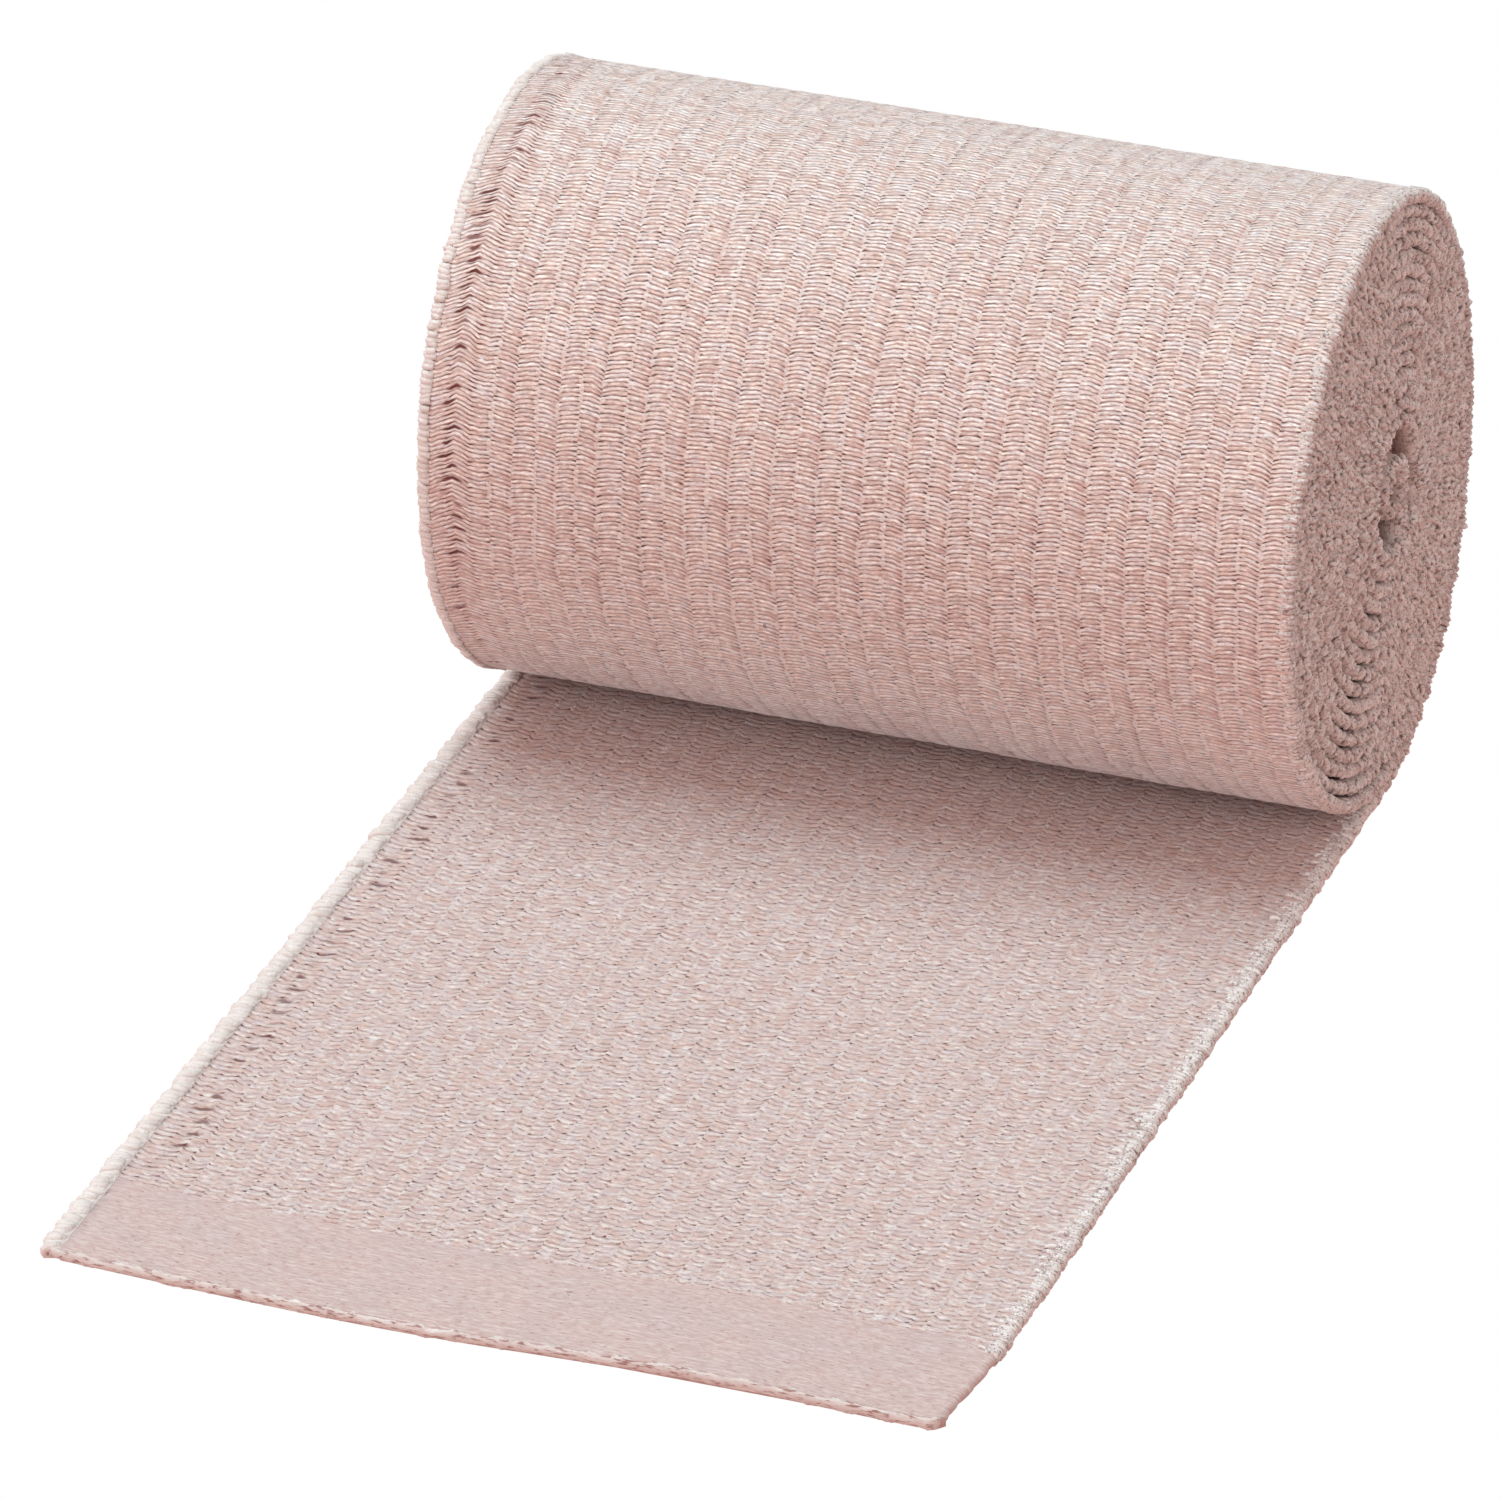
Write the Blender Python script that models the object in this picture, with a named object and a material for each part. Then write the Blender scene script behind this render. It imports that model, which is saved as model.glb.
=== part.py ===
"""Elastic sports bandage: a band wound into a roll, its free end laid flat in front.

The band has three zones across its width, the ribbed web and a selvage on each edge, and a
smooth hem at its free end. Each zone is one strip laid flat, the tail, and one long spiral,
the roll, that follows on from it where the tail goes under the roll.
X runs along the roll, +X to the pink selvage, the tail points to -Y, and +Z is up.
The origin is at the middle of the box that holds the bandage, on the surface it lies on.
"""

import math

import bmesh
import bpy

# Driving sizes, in millimetres
BAND_WIDTH = 80.0
ROLL_RADIUS = 27.825
CORE_RADIUS = 5.7
LAYER_THICKNESS = 1.05
TURN_GAP = 0.30
TAIL_REACH = 113.3
HEM_DEPTH = 13.0
CREAM_SELVAGE_WIDTH = 2.0
PINK_SELVAGE_WIDTH = 2.4
SELVAGE_NOSE = 0.35
PIECE_GAP = 0.30
TAIL_DRIFT = 1.6
CORE_PUSH = 0.9

# The roll is wound off centre: the shares of the turn gap by which each turn sits further back
# and further up than the one outside it
CORE_SLIDE_BACK = 0.47
CORE_SLIDE_UP = 0.15

# The hand-wound roll is not quite round: waves per turn, share of the radius, angle of the
# first crest, counted from the bottom of the roll towards its back
OUT_OF_ROUND = (
    {"waves": 2, "share": 0.053, "crest_deg": 16.0},
    {"waves": 3, "share": 0.014, "crest_deg": 36.0},
)

# The inner end of the band, doubled over inside the core: shares of the core radius, as they
# lie when the winding ends at the bottom of its innermost turn
FOLDED_END = (
    {"back": 0.21, "up": -0.93},
    {"back": 0.31, "up": -0.70},
    {"back": 0.35, "up": -0.35},
    {"back": 0.38, "up": 0.02},
    {"back": 0.29, "up": 0.36},
    {"back": 0.04, "up": 0.55},
    {"back": -0.26, "up": 0.49},
    {"back": -0.45, "up": 0.23},
    {"back": -0.41, "up": -0.08},
    {"back": -0.18, "up": -0.27},
    {"back": 0.06, "up": -0.26},
)

# Facets: the outermost turns show, so they get twice as many as the rest
FACETS_PER_TURN = 20
FINE_TURNS = 2
FINE_FACTOR = 2
SHORTEST_FACET = 0.2
STEPS_PER_FOLD_POINT = 2

# Angles tried on each side of the bottom to find the lowest point of the roll
LOWEST_TRIES = 2000

MM = 0.001
FULL_TURN = 2.0 * math.pi

TURN_PITCH = LAYER_THICKNESS + TURN_GAP
FACET_ANGLE = FULL_TURN / FACETS_PER_TURN
OUTER_RADIUS = ROLL_RADIUS - 0.5 * LAYER_THICKNESS
TURNS = (OUTER_RADIUS - CORE_RADIUS) / TURN_PITCH
FACET_COUNT = round(TURNS * FACETS_PER_TURN)
LAST_ANGLE = FACET_COUNT * FACET_ANGLE

FLESH_WEAVE = {"color": (0.62, 0.43, 0.39, 1.0), "roughness": 0.92}
CREAM_YARN = {"color": (0.80, 0.73, 0.66, 1.0), "roughness": 0.95}
PINK_YARN = {"color": (0.56, 0.38, 0.34, 1.0), "roughness": 0.94}
SMOOTH_WEAVE = {"color": (0.66, 0.50, 0.47, 1.0), "roughness": 0.85}


def roundness(angle):
    """Factor on the radius that makes the roll a little out of round."""
    factor = 1.0
    for row in OUT_OF_ROUND:
        factor += row["share"] * math.cos(row["waves"] * (angle - math.radians(row["crest_deg"])))
    return factor


def core_slide(angle):
    """How far back and up the centre of a turn has moved, growing towards the core."""
    whole = TURN_GAP * angle / FULL_TURN
    return whole * CORE_SLIDE_BACK, whole * CORE_SLIDE_UP


def winding_point(angle):
    """Middle of the band at an angle wound, from the bottom of the roll towards its back."""
    radius = (OUTER_RADIUS - TURN_PITCH * angle / FULL_TURN) * roundness(angle)
    back, up = core_slide(angle)
    return back + radius * math.sin(angle), up - radius * math.cos(angle)


def lowest_angle():
    """Angle near the bottom of the outermost turn where the band leaves the flat surface."""
    step = 0.25 * FULL_TURN / LOWEST_TRIES
    tries = [step * index for index in range(-LOWEST_TRIES, LOWEST_TRIES + 1)]
    return min(tries, key=lambda angle: winding_point(angle)[1])


def winding_angles():
    """Angles of the facets' corners, finer on the outermost turns."""
    start = lowest_angle()
    fine_facets = round(FINE_TURNS * FACETS_PER_TURN)
    fine = [index * FACET_ANGLE / FINE_FACTOR for index in range(fine_facets * FINE_FACTOR)]
    coarse = [index * FACET_ANGLE for index in range(fine_facets, FACET_COUNT + 1)]
    return [start] + [angle for angle in fine + coarse if angle > start + SHORTEST_FACET * FACET_ANGLE]


def smooth_points(points, steps):
    """Points on a smooth curve through the given ones, the first and last being guides."""
    result = []
    for a, b, c, d in zip(points, points[1:], points[2:], points[3:]):
        for step in range(steps):
            t = step / steps
            weights = (
                -0.5 * t + t**2 - 0.5 * t**3,
                1.0 - 2.5 * t**2 + 1.5 * t**3,
                0.5 * t + 2.0 * t**2 - 1.5 * t**3,
                -0.5 * t**2 + 0.5 * t**3,
            )
            result.append(tuple(sum(w * p[i] for w, p in zip(weights, (a, b, c, d))) for i in range(2)))
    result.append(points[-2])
    return result


def folded_end():
    """Path of the inner end, from the end of the winding into the core's hollow."""
    centre_back, centre_up = core_slide(LAST_ANGLE)
    cosine, sine = math.cos(LAST_ANGLE), math.sin(LAST_ANGLE)
    inside = []
    for row in FOLDED_END:
        back = CORE_RADIUS * (row["back"] * cosine - row["up"] * sine)
        up = CORE_RADIUS * (row["back"] * sine + row["up"] * cosine)
        inside.append((centre_back + back, centre_up + up))
    before = winding_point(LAST_ANGLE - FACET_ANGLE)
    start = winding_point(LAST_ANGLE)
    beyond = tuple(2.0 * inside[-1][i] - inside[-2][i] for i in range(2))
    return smooth_points([before, start] + inside + [beyond], STEPS_PER_FOLD_POINT)[1:]


def wound_path():
    """Middle line of the roll: back, up and sideways place of each corner, from the tail inwards."""
    angles = winding_angles()
    lift = 0.5 * LAYER_THICKNESS - winding_point(angles[0])[1]
    path = []
    for angle in angles:
        back, up = winding_point(angle)
        path.append((back, up + lift, CORE_PUSH * (angle / LAST_ANGLE) ** 2))
    for back, up in folded_end():
        path.append((back, up + lift, CORE_PUSH))
    return path


def tail_point(back):
    """Middle of the flat tail at a place along it, drifting sideways towards the free end."""
    return back, 0.5 * LAYER_THICKNESS, TAIL_DRIFT * -back / TAIL_REACH


def path_normals(path):
    """Direction at each corner of a path, at right angles to it, towards the outside of the roll."""
    normals = []
    for index in range(len(path)):
        before = path[max(index - 1, 0)]
        after = path[min(index + 1, len(path) - 1)]
        back, up = after[0] - before[0], after[1] - before[1]
        length = math.hypot(back, up)
        normals.append((up / length, -back / length))
    return normals


def centre_shift(path):
    """Sideways and backward shift that puts the middle of the whole box at the origin."""
    half = 0.5 * LAYER_THICKNESS
    normals = path_normals(path)
    rearmost = max(point[0] + half * normal[0] for point, normal in zip(path, normals))
    side = 0.5 * TAIL_DRIFT
    return -side, -0.5 * (rearmost - TAIL_REACH)


def flat_profile(left, right):
    """Cross-section of a strip with square edges: sideways place and share of half the layer."""
    return [(left, -1.0), (right, -1.0), (right, 1.0), (left, 1.0)]


def left_nosed_profile(left, right):
    """Cross-section of a selvage whose left edge swells to a nose."""
    return [(left + SELVAGE_NOSE, -1.0), (right, -1.0), (right, 1.0), (left + SELVAGE_NOSE, 1.0), (left, 0.0)]


def right_nosed_profile(left, right):
    """Cross-section of a selvage whose right edge swells to a nose."""
    return [(left, -1.0), (right - SELVAGE_NOSE, -1.0), (right, 0.0), (right - SELVAGE_NOSE, 1.0), (left, 1.0)]


def make_material(name, finish):
    """A plain Principled finish."""
    material = bpy.data.materials.new(name)
    material.use_nodes = True
    shader = material.node_tree.nodes["Principled BSDF"]
    shader.inputs["Base Color"].default_value = finish["color"]
    shader.inputs["Roughness"].default_value = finish["roughness"]
    shader.inputs["Metallic"].default_value = 0.0
    return material


def make_strip(name, profile, path, shift, finish):
    """A strip of the band: its cross-section carried along a path, closed at both ends."""
    half = 0.5 * LAYER_THICKNESS
    mesh = bmesh.new()
    rings = []
    for (back, up, aside), (normal_back, normal_up) in zip(path, path_normals(path)):
        ring = []
        for sideways, share in profile:
            x = sideways + aside + shift[0]
            y = back - share * half * normal_back + shift[1]
            z = up - share * half * normal_up
            ring.append(mesh.verts.new((x * MM, y * MM, z * MM)))
        rings.append(ring)
    for ring, following in zip(rings, rings[1:]):
        for index in range(len(profile)):
            after = (index + 1) % len(profile)
            mesh.faces.new((ring[index], ring[after], following[after], following[index]))
    mesh.faces.new(list(reversed(rings[0])))
    mesh.faces.new(rings[-1])
    bmesh.ops.recalc_face_normals(mesh, faces=mesh.faces)
    data = bpy.data.meshes.new(name)
    mesh.to_mesh(data)
    mesh.free()
    data.materials.append(make_material(name + "_finish", finish))
    strip = bpy.data.objects.new(name, data)
    bpy.context.scene.collection.objects.link(strip)
    return strip


def make_zone(name, profile, laid_from, winding, shift, finish):
    """One zone of the band: its laid strip and its rolled one, a small gap apart under the roll."""
    laid_to = tail_point(winding[0][0] - PIECE_GAP)
    make_strip("laid_" + name, profile, [laid_from, laid_to], shift, finish)
    make_strip("rolled_" + name, profile, winding, shift, finish)


def build():
    """The whole bandage."""
    winding = wound_path()
    shift = centre_shift(winding)
    free_end = tail_point(-TAIL_REACH)
    hem_line = tail_point(-TAIL_REACH + HEM_DEPTH)
    web_end = tail_point(-TAIL_REACH + HEM_DEPTH + PIECE_GAP)

    left = -0.5 * BAND_WIDTH
    right = 0.5 * BAND_WIDTH
    web_profile = flat_profile(left + CREAM_SELVAGE_WIDTH + PIECE_GAP, right - PINK_SELVAGE_WIDTH - PIECE_GAP)
    cream_profile = left_nosed_profile(left, left + CREAM_SELVAGE_WIDTH)
    pink_profile = right_nosed_profile(right - PINK_SELVAGE_WIDTH, right)

    make_zone("web", web_profile, web_end, winding, shift, FLESH_WEAVE)
    make_zone("cream_selvage", cream_profile, free_end, winding, shift, CREAM_YARN)
    make_zone("pink_selvage", pink_profile, free_end, winding, shift, PINK_YARN)
    make_strip("end_hem", web_profile, [free_end, hem_line], shift, SMOOTH_WEAVE)


for old in list(bpy.data.objects):
    bpy.data.objects.remove(old, do_unlink=True)
build()
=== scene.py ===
"""Looks of the elastic bandage: woven relief, yarn selvages, hem, light and camera.

The cloth is built on the same winding as the frame's solids. The ribbed web is a fine grid whose
rows follow the weft yarns, raised by a Geometry Nodes tree, and the hem is such a grid left smooth.
Every yarn that loops round an edge is a small instanced tube, made real at the end of its tree.
Lengths are in millimetres until a mesh is made.
"""

import math

import bpy
import numpy as np
from mathutils import Matrix, Vector


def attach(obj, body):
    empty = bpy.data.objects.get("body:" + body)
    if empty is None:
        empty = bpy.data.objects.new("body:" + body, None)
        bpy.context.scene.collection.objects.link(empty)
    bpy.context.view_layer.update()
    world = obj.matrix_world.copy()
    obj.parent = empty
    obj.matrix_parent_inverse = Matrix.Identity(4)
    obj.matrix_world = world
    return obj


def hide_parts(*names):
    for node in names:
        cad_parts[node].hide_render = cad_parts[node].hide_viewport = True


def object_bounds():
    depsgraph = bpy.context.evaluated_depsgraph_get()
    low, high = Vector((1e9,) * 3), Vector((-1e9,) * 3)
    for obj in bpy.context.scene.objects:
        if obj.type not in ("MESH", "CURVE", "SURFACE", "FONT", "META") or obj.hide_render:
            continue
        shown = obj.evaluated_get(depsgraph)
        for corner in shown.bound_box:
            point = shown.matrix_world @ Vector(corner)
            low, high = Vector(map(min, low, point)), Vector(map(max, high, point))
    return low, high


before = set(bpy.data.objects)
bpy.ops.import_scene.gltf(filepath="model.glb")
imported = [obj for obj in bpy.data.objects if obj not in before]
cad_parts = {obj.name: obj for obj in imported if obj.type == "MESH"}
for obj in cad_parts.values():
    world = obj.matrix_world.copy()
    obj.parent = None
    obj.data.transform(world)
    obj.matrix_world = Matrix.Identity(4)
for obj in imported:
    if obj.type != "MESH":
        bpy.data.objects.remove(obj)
cad_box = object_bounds()

MM = 0.001
FULL_TURN = 2.0 * math.pi

# The band and its winding, as the solids have them
BAND_WIDTH = 80.0
ROLL_RADIUS = 27.825
CORE_RADIUS = 5.7
LAYER_THICKNESS = 1.05
TURN_GAP = 0.30
TAIL_REACH = 113.3
HEM_DEPTH = 13.0
CREAM_SELVAGE_WIDTH = 2.0
PINK_SELVAGE_WIDTH = 2.4
TAIL_DRIFT = 1.6
CORE_PUSH = 0.9
CORE_SLIDE_BACK = 0.47
CORE_SLIDE_UP = 0.15
OUT_OF_ROUND = (
    {"waves": 2, "share": 0.053, "crest_deg": 16.0},
    {"waves": 3, "share": 0.014, "crest_deg": 36.0},
)
FOLDED_END = (
    {"back": 0.21, "up": -0.93},
    {"back": 0.31, "up": -0.70},
    {"back": 0.35, "up": -0.35},
    {"back": 0.38, "up": 0.02},
    {"back": 0.29, "up": 0.36},
    {"back": 0.04, "up": 0.55},
    {"back": -0.26, "up": 0.49},
    {"back": -0.45, "up": 0.23},
    {"back": -0.41, "up": -0.08},
    {"back": -0.18, "up": -0.27},
    {"back": 0.06, "up": -0.26},
)
HALF_LAYER = 0.5 * LAYER_THICKNESS
TURN_PITCH = LAYER_THICKNESS + TURN_GAP
OUTER_RADIUS = ROLL_RADIUS - HALF_LAYER
TURNS = (OUTER_RADIUS - CORE_RADIUS) / TURN_PITCH
LAST_ANGLE = TURNS * FULL_TURN

# Where the winding sits in the frame: the middle of the band and the roll's axis
BAND_MIDDLE_X = cad_box[0][0] / MM + 0.5 * BAND_WIDTH
ROLL_AXIS_Y = cad_box[0][1] / MM + TAIL_REACH

# The weave: weft yarns across the band, ribs along it, and the wide arches by the cream selvage
YARN_PITCH = 0.375
RIB_WIDTH = 2.0
ARCH_WIDTH = 4.9
ARCH_PEAK = 2.6
YARN_DEPTH = 0.08
ROW_WANDER = 0.12
RIB_WANDER = 0.22
NUB_HALF_WIDTH = 0.25
VOID_YARNS = 2.9
WEAVE_SEED = 3.0

# The laid end shows the band's other face, its yarns in twos, its ribs narrower and lower
TAIL_YARN_SHARE = 0.5
TAIL_YARN_DEPTH = 0.07
FINE_RIB = 1.55

# How much wider the yarns lie low on the roll's front, and how far from there that reaches
LOW_ANGLE_DEG = 332.0
LOW_STRETCH = 0.42
LOW_REACH = 24.0

# Steps along the band of the selvages' bodies, of the lines that carry loops, and of hidden turns
BODY_STEP = 1.4
LINE_STEP = 0.8
HIDDEN_STEP = 2.0

# How far the outermost turn runs on past the bottom, to end under the roll
TUCKED_DEG = 14.0

# A sheet's rounded right rim: its columns, as distances in from the edge, and how far in it bends
RIM = (0.75, 0.5, 0.3, 0.14, 0.04, 0.0)
RIM_WIDTH = 0.5

# What shows of the selvages past the web: widths on the roll and on the laid end
CREAM_ON_ROLL = 1.0
CREAM_ON_TAIL = 1.8
PINK_ON_ROLL = 0.2
PINK_ON_TAIL = 0.35

# What the floor gives back to the cloth, dimmer and warmer than the white that the camera sees
FLOOR_GLOW = (0.76, 0.44, 0.38, 1.0)

# Camera, fitted to the photo's outline: angles in degrees, lengths in mm, lens in picture widths
CAMERA_AZIMUTH = 20.64
CAMERA_ELEVATION = 27.89
CAMERA_ROLL = -0.18
CAMERA_DISTANCE = 1194.4
CAMERA_ASIDE = -17.15
CAMERA_UP = -1.39
PICTURE_WIDTH = 1500.0
FOCAL_PIXELS = 13553.0
SENSOR_WIDTH = 36.0


def smoothstep(t):
    """Eases from 0 to 1."""
    t = np.clip(t, 0.0, 1.0)
    return t * t * (3.0 - 2.0 * t)


def roundness(angle):
    """Factor on the radius that makes the roll a little out of round."""
    factor = 1.0
    for row in OUT_OF_ROUND:
        factor = factor + row["share"] * np.cos(row["waves"] * (angle - math.radians(row["crest_deg"])))
    return factor


def winding_points(angle):
    """Middle of the band at angles wound from the bottom of the roll towards its back."""
    turns = angle / FULL_TURN
    radius = (OUTER_RADIUS - TURN_PITCH * turns) * roundness(angle)
    back = TURN_GAP * turns * CORE_SLIDE_BACK + radius * np.sin(angle)
    up = TURN_GAP * turns * CORE_SLIDE_UP - radius * np.cos(angle)
    return back, up


def smooth_points(points, steps):
    """Points on a smooth curve through the given ones, the first and last being guides."""
    result = []
    for a, b, c, d in zip(points, points[1:], points[2:], points[3:]):
        for step in range(steps):
            t = step / steps
            weights = (
                -0.5 * t + t**2 - 0.5 * t**3,
                1.0 - 2.5 * t**2 + 1.5 * t**3,
                0.5 * t + 2.0 * t**2 - 1.5 * t**3,
                -0.5 * t**2 + 0.5 * t**3,
            )
            result.append(sum(w * np.array(p) for w, p in zip(weights, (a, b, c, d))))
    result.append(np.array(points[-2]))
    return result


class BandLine:
    """The middle line of the whole band, from the free end to the folded end in the core."""

    TURN_STEPS = 360
    FOLD_STEPS = 8

    def __init__(self):
        tries = np.linspace(-0.25 * FULL_TURN, 0.25 * FULL_TURN, 4001)
        self.first_angle = float(tries[np.argmin(winding_points(tries)[1])])
        count = int(self.TURN_STEPS * TURNS)
        angles = np.linspace(self.first_angle, LAST_ANGLE, count)
        back, up = winding_points(angles)
        lift = HALF_LAYER - up[0]
        push = CORE_PUSH * (angles / LAST_ANGLE) ** 2
        fold = np.array(self.folded_end(angles[-2]))
        self.roll_start = TAIL_REACH + float(back[0])
        y = np.concatenate([[-TAIL_REACH], back, fold[1:, 0]])
        z = np.concatenate([[HALF_LAYER], up + lift, fold[1:, 1] + lift])
        x = np.concatenate([[TAIL_DRIFT], push, np.full(len(fold) - 1, CORE_PUSH)])
        self.y, self.z, self.x = y, z, x
        self.s = np.concatenate([[0.0], np.cumsum(np.hypot(np.diff(y), np.diff(z)))])
        run, rise = np.gradient(y, self.s), np.gradient(z, self.s)
        run[0], rise[0] = 1.0, 0.0
        length = np.hypot(run, rise)
        self.normal_y, self.normal_z = rise / length, -run / length
        self.angle = np.concatenate([[self.first_angle], angles, np.full(len(fold) - 1, LAST_ANGLE)])
        self.length = float(self.s[-1])
        self.turn_end = self.at_angle(FULL_TURN + math.radians(TUCKED_DEG))
        self.low_front = self.at_angle(math.radians(LOW_ANGLE_DEG))

    def folded_end(self, before):
        """Path of the doubled-over inner end, from the end of the winding into the core."""
        turns = LAST_ANGLE / FULL_TURN
        centre = np.array([TURN_GAP * turns * CORE_SLIDE_BACK, TURN_GAP * turns * CORE_SLIDE_UP])
        cosine, sine = math.cos(LAST_ANGLE), math.sin(LAST_ANGLE)
        inside = []
        for row in FOLDED_END:
            back = CORE_RADIUS * (row["back"] * cosine - row["up"] * sine)
            up = CORE_RADIUS * (row["back"] * sine + row["up"] * cosine)
            inside.append(centre + np.array([back, up]))
        guide = np.array(winding_points(before - 0.3))
        start = np.array(winding_points(LAST_ANGLE))
        return smooth_points([guide, start] + inside + [2.0 * inside[-1] - inside[-2]], self.FOLD_STEPS)

    def at(self, s):
        """Sideways shift, y, z and the outward normal's y and z at lengths along the band."""
        columns = (self.x, self.y, self.z, self.normal_y, self.normal_z)
        return [np.interp(s, self.s, column) for column in columns]

    def at_angle(self, angle):
        """Length along the band at an angle wound."""
        return float(np.interp(angle, self.angle[1:], self.s[1:]))


LINE = BandLine()


class Drift:
    """Smooth random values over the cloth, between -1 and 1, in cells of a given size."""

    def __init__(self, seed, cell_across, cell_along):
        self.cell_across, self.cell_along = cell_across, cell_along
        across = int(2.0 * BAND_WIDTH / cell_across) + 3
        along = int(1.2 * LINE.length / cell_along) + 3
        self.values = np.random.default_rng(seed).uniform(-1.0, 1.0, (across, along))

    def at(self, x, s):
        """The value at places x across, from the middle of the band, and s along it."""
        u = (np.asarray(x) + BAND_WIDTH) / self.cell_across
        v = np.asarray(s) / self.cell_along + 1.0
        u, v = np.broadcast_arrays(u, v)
        i, j = np.floor(u).astype(int), np.floor(v).astype(int)
        p, q = smoothstep(u - i), smoothstep(v - j)
        low = self.values[i, j] * (1.0 - p) + self.values[i + 1, j] * p
        high = self.values[i, j + 1] * (1.0 - p) + self.values[i + 1, j + 1] * p
        return low * (1.0 - q) + high * q


ROW_DRIFT = Drift(21, 1.3, 3.0)
RIB_DRIFT = Drift(22, 2.1, 6.0)
SWELL_DRIFT = Drift(23, 14.0, 12.0)
TURN_DRIFT = Drift(24, 60.0, 6.0)
EDGE_DRIFT = Drift(25, 30.0, 1.3)

# How the laid end departs from a flat strip, in mm, and how the roll's edges wander
RIGHT_LIFT = 0.8
CORNER_REACH = 34.0
END_BOW = 0.9
END_BOW_REACH = 30.0
RIPPLE = 0.1
SWELL = 0.1
TURN_WOBBLE = 0.14
OUTER_TURN_SHIFT = 0.45
EDGE_WANDER = 0.14
SCALLOP = 0.16
SCALLOP_LENGTH = 2.5
HEM_TAPER = 0.9
CORNER_ROUND = 1.6


def cloth_point(x, s, outward):
    """Places in the frame of points x across and s along the band, some way out from its middle."""
    aside, y, z, normal_y, normal_z = LINE.at(s)
    across = x / (0.5 * BAND_WIDTH)
    laid = 1.0 - smoothstep((s - LINE.roll_start + 25.0) / 25.0)
    lift = RIGHT_LIFT * smoothstep(1.0 - s / CORNER_REACH) * np.exp(-(((across - 0.45) / 0.45) ** 2))
    ripple = RIPPLE * (1.0 + np.sin(0.13 * s + 2.2 * across) * np.cos(2.9 * across - 0.05 * s))
    bow = END_BOW * smoothstep(1.0 - s / END_BOW_REACH) * (1.0 - (across - 0.25) ** 2)
    rolled = smoothstep((s - LINE.roll_start) / 40.0)
    inside = smoothstep((s - LINE.turn_end) / 15.0)
    swell = SWELL * SWELL_DRIFT.at(x, s) * rolled * (1.0 - inside)
    swell = swell + TURN_WOBBLE * TURN_DRIFT.at(0.0, s) * inside
    near_edge = smoothstep((abs(x) - 0.5 * BAND_WIDTH + 3.0) / 3.0) * np.sign(x)
    scallop = SCALLOP * (np.abs(np.sin(math.pi * s / SCALLOP_LENGTH + 0.9 * np.sin(0.3 * s))) - 0.6)
    wander = EDGE_WANDER * EDGE_DRIFT.at(x, s) * near_edge + scallop * near_edge
    wander = wander + OUTER_TURN_SHIFT * rolled * (1.0 - inside) * (0.45 - 0.55 * normal_y)
    taper = HEM_TAPER * smoothstep(1.0 - s / HEM_DEPTH) * np.clip(across, 0.0, 1.0) ** 3
    corner = np.clip((abs(x) - 0.5 * BAND_WIDTH + CORNER_ROUND) / CORNER_ROUND, 0.0, 1.0)
    corner = 0.7 * CORNER_ROUND * corner**2.5 * smoothstep(1.0 - 0.4 * s / CORNER_ROUND)
    px = BAND_MIDDLE_X + x + aside + wander - taper
    py = ROLL_AXIS_Y + y + (outward + swell) * normal_y - bow * laid + corner
    pz = z + (outward + swell) * normal_z + laid * (lift + ripple)
    return np.stack([px, py, pz], -1)


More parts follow.
